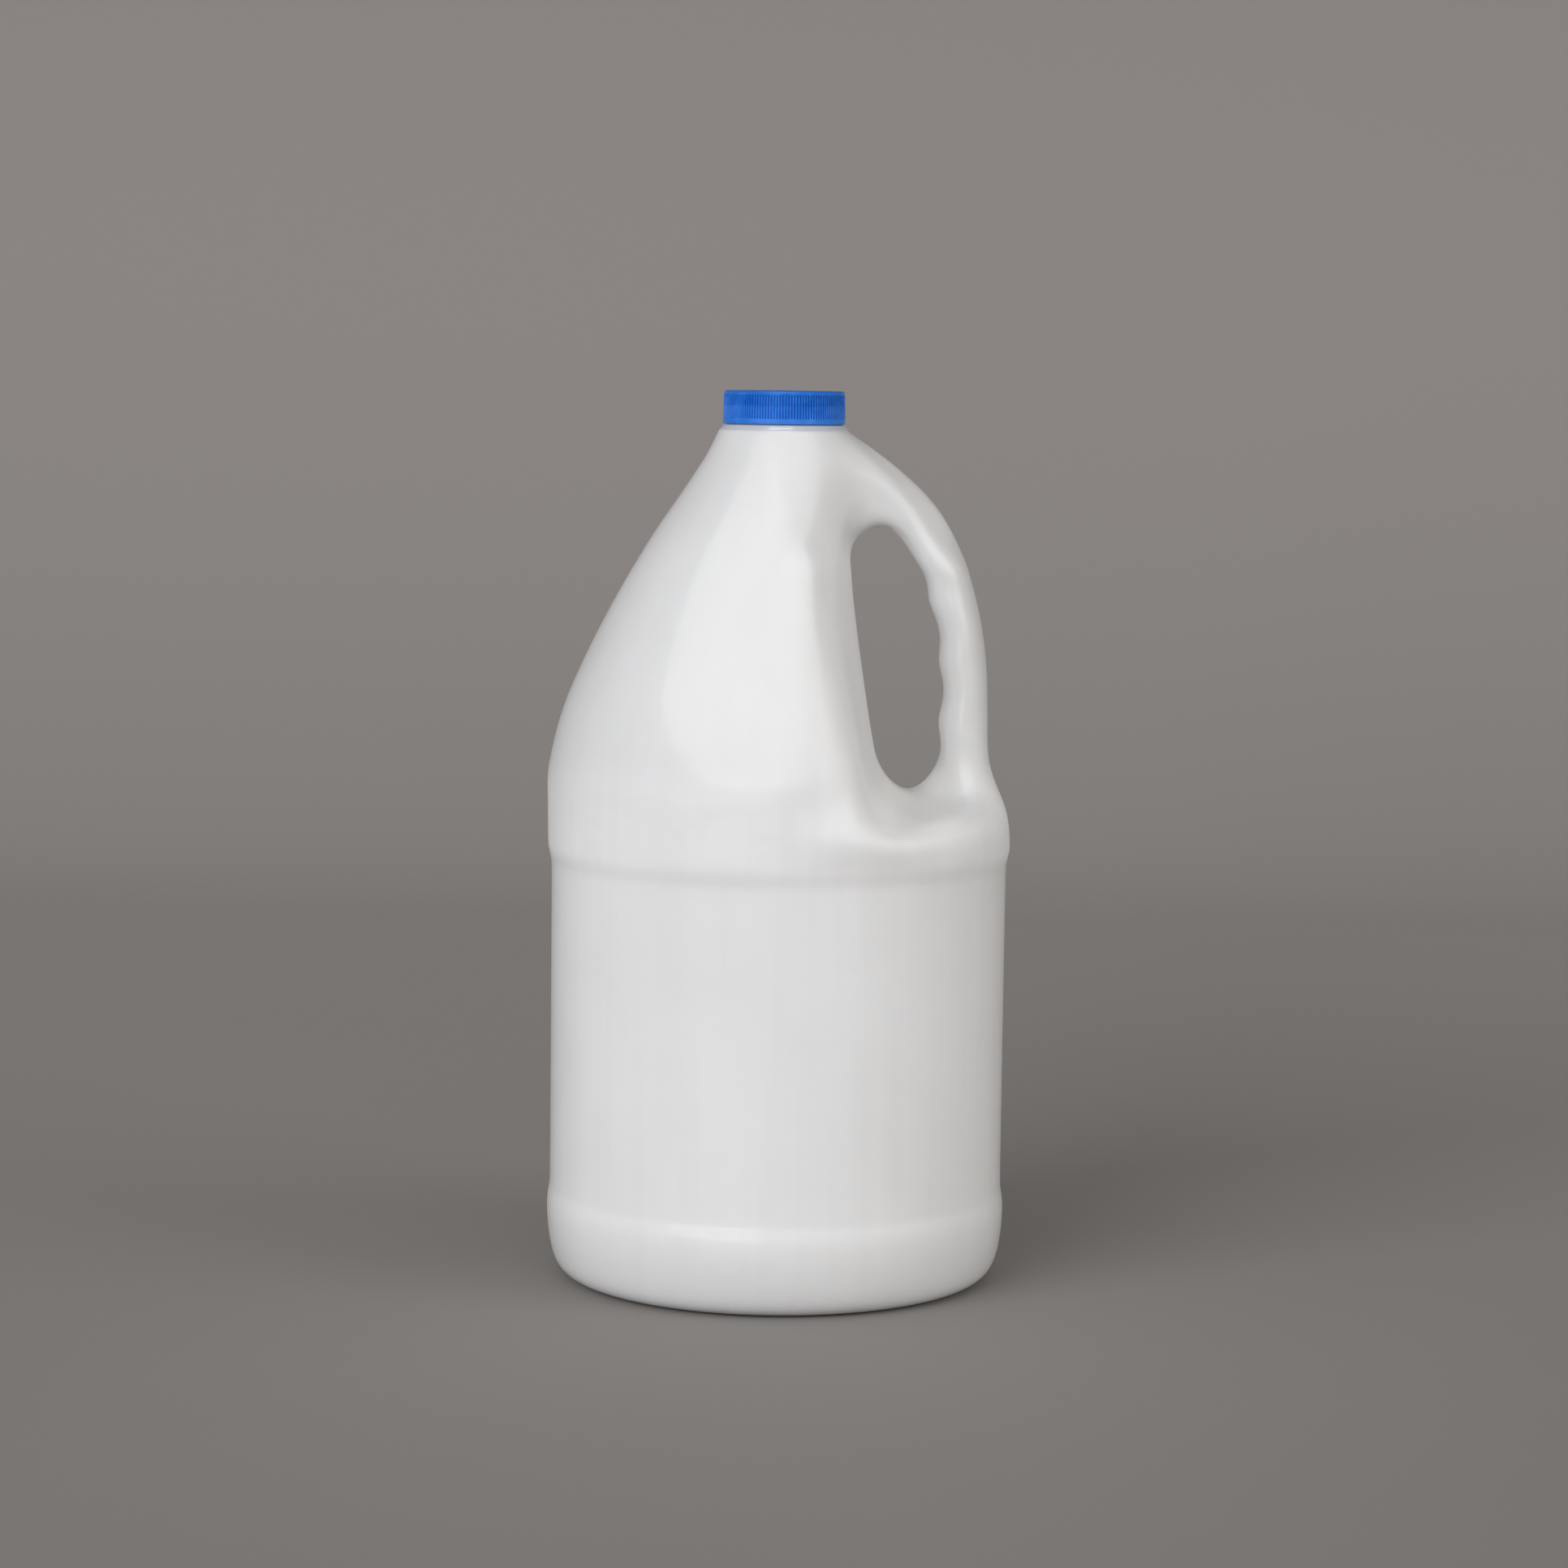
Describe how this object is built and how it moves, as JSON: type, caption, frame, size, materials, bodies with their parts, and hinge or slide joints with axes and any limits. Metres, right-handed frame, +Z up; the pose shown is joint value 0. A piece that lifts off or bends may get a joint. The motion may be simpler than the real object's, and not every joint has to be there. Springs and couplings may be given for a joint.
{
  "type": "handled plastic jug",
  "caption": "Closed round plastic jug with a handle moulded into its cone-shaped shoulder, a stepped label panel below, and a ribbed blue screw cap.",
  "frame": {"origin": "middle of the base on the surface that the jug stands on", "axes": "+Z up through the cap, +X towards the handle, the mould's halves meet in the plane Y = 0"},
  "size_m": [0.1566, 0.1568, 0.3005],
  "materials": {
    "milky_plastic": "satin, faintly milky",
    "blue_plastic": "satin"
  },
  "bodies": {
    "root": {"jug": "milky_plastic", "cap": "blue_plastic"}
  },
  "joints": []
}
